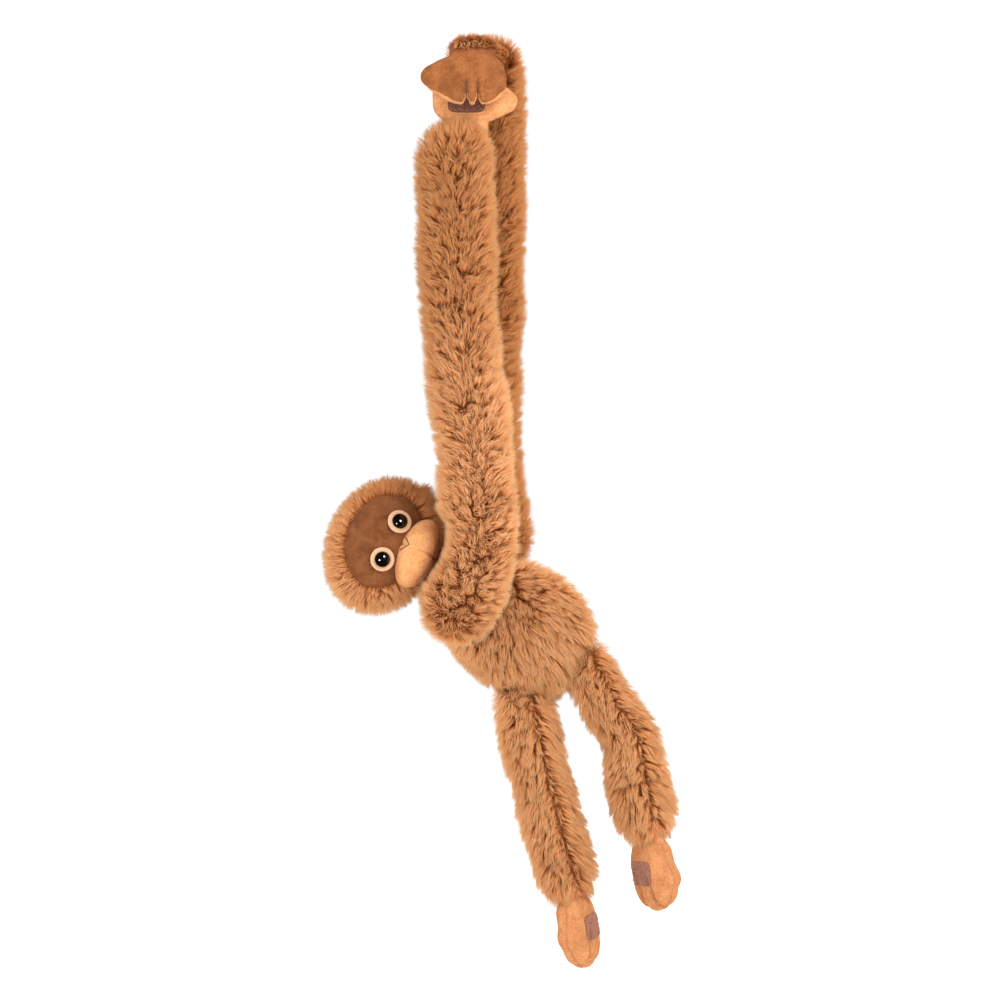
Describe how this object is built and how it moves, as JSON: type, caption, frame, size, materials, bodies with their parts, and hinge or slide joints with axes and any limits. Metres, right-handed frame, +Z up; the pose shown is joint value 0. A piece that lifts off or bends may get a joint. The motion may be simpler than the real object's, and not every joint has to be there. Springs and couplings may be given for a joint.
{
  "type": "stuffed monkey",
  "caption": "Long-armed plush monkey hanging by its hands, with hook-and-loop palms and feet, on jointed neck, arms and legs.",
  "frame": {"origin": "middle of the flat underside of the folded left wrist, where the rail that the toy hangs from touches it", "axes": "+Z up, the toy faces -Y, +X is to the right as the toy is seen from its front; left and right in names are the toy's own"},
  "size_m": [0.2422, 0.1096, 0.6322],
  "materials": {
    "long_pile": "golden brown long-pile plush, darker at the roots",
    "face_velboa": "dark brown short-pile velboa",
    "tan_velboa": "tan short-pile velboa",
    "back_velboa": "mid brown short-pile velboa",
    "fibre_fill": "white polyester fibre",
    "eye_black": "polished",
    "ring_felt": "beige felt",
    "washer_plastic": "moulded",
    "patch_loop": "plum brown hook-and-loop tape",
    "thread": "dark brown sewing thread"
  },
  "bodies": {
    "torso": {"torso_cover": "long_pile", "torso_stuffing": "fibre_fill"},
    "neck": {"neck_cover": "long_pile"},
    "head": {"head_cover": "long_pile", "head_stuffing": "fibre_fill", "face_panel": "face_velboa", "muzzle_cover": "tan_velboa", "muzzle_stuffing": "fibre_fill", "mouth_stitch": "thread", "left_eye": "eye_black", "left_eye_ring": "ring_felt", "left_eye_washer": "washer_plastic", "left_nostril_stitch": "thread", "right_eye": "eye_black", "right_eye_ring": "ring_felt", "right_eye_washer": "washer_plastic", "right_nostril_stitch": "thread"},
    "right_upper_arm": {"right_upper_arm_cover": "long_pile", "right_upper_arm_stuffing": "fibre_fill"},
    "right_forearm": {"right_forearm_cover": "long_pile", "right_forearm_stuffing": "fibre_fill"},
    "right_hand": {"right_hand_palm": "tan_velboa", "right_hand_back": "back_velboa", "right_hand_stuffing": "fibre_fill", "right_hand_patch": "patch_loop", "right_hand_finger_stitch_1": "thread", "right_hand_finger_stitch_2": "thread"},
    "right_thigh": {"right_thigh_cover": "long_pile", "right_thigh_stuffing": "fibre_fill"},
    "right_shin": {"right_shin_cover": "long_pile", "right_shin_stuffing": "fibre_fill"},
    "right_foot": {"right_foot_sole": "tan_velboa", "right_foot_top": "tan_velboa", "right_foot_stuffing": "fibre_fill", "right_foot_patch": "patch_loop", "right_foot_toe_stitch_1": "thread", "right_foot_toe_stitch_2": "thread"},
    "left_upper_arm": {"left_upper_arm_cover": "long_pile", "left_upper_arm_stuffing": "fibre_fill"},
    "left_forearm": {"left_forearm_cover": "long_pile", "left_forearm_stuffing": "fibre_fill"},
    "left_hand": {"left_hand_palm": "tan_velboa", "left_hand_back": "back_velboa", "left_hand_stuffing": "fibre_fill", "left_hand_patch": "patch_loop", "left_hand_finger_stitch_1": "thread", "left_hand_finger_stitch_2": "thread"},
    "left_thigh": {"left_thigh_cover": "long_pile", "left_thigh_stuffing": "fibre_fill"},
    "left_shin": {"left_shin_cover": "long_pile", "left_shin_stuffing": "fibre_fill"},
    "left_foot": {"left_foot_sole": "tan_velboa", "left_foot_top": "tan_velboa", "left_foot_stuffing": "fibre_fill", "left_foot_patch": "patch_loop", "left_foot_toe_stitch_1": "thread", "left_foot_toe_stitch_2": "thread"}
  },
  "joints": [
    {"name": "neck_nod", "type": "hinge", "parent": "torso", "child": "neck", "pos_m": [-0.03134, 0.005, -0.34737], "axis": [0.4108, 0, 0.9117], "range_deg": [-32, 2]},
    {"name": "neck_turn", "type": "hinge", "parent": "neck", "child": "head", "pos_m": [-0.03134, 0.005, -0.34737], "axis": [-0.9117, 0, 0.4108], "range_deg": [-50, 2]},
    {"name": "right_shoulder", "type": "hinge", "parent": "torso", "child": "right_upper_arm", "pos_m": [-0.028, -0.015, -0.375], "axis": [0, 1, 0], "range_deg": [0, 75]},
    {"name": "right_elbow", "type": "hinge", "parent": "right_upper_arm", "child": "right_forearm", "pos_m": [-0.019, -0.035, -0.168], "axis": [0, 1, 0], "range_deg": [-100, 70]},
    {"name": "right_wrist", "type": "hinge", "parent": "right_forearm", "child": "right_hand", "pos_m": [-0.0136, -0.0265, -0.043], "axis": [-1, 0, 0], "range_deg": [0, 35]},
    {"name": "left_shoulder", "type": "hinge", "parent": "torso", "child": "left_upper_arm", "pos_m": [0.012, 0.024, -0.332], "axis": [0, 1, 0], "range_deg": [0, 90]},
    {"name": "left_elbow", "type": "hinge", "parent": "left_upper_arm", "child": "left_forearm", "pos_m": [0, 0.027, -0.168], "axis": [0, 1, 0], "range_deg": [-70, 100]},
    {"name": "left_wrist", "type": "hinge", "parent": "left_forearm", "child": "left_hand", "pos_m": [-0.01, -0.0435, -0.0025], "axis": [-1, 0, 0], "range_deg": [0, 120]},
    {"name": "right_hip", "type": "hinge", "parent": "torso", "child": "right_thigh", "pos_m": [0.024, 0.01, -0.43], "axis": [-1, 0, 0], "range_deg": [-30, 85]},
    {"name": "right_knee", "type": "hinge", "parent": "right_thigh", "child": "right_shin", "pos_m": [0.038, 0.008, -0.498], "axis": [1, 0, 0], "range_deg": [0, 100]},
    {"name": "right_ankle", "type": "hinge", "parent": "right_shin", "child": "right_foot", "pos_m": [0.0585, 0.008, -0.5695], "axis": [-0.4057, -0.9111, -0.073], "range_deg": [-25, 25]},
    {"name": "left_hip", "type": "hinge", "parent": "torso", "child": "left_thigh", "pos_m": [0.066, 0.01, -0.408], "axis": [-1, 0, 0], "range_deg": [-30, 85]},
    {"name": "left_knee", "type": "hinge", "parent": "left_thigh", "child": "left_shin", "pos_m": [0.098, 0.008, -0.464], "axis": [1, 0, 0], "range_deg": [0, 100]},
    {"name": "left_ankle", "type": "hinge", "parent": "left_shin", "child": "left_foot", "pos_m": [0.111, 0.006, -0.53], "axis": [-0.5283, 0.8454, -0.0792], "range_deg": [-25, 25]}
  ]
}
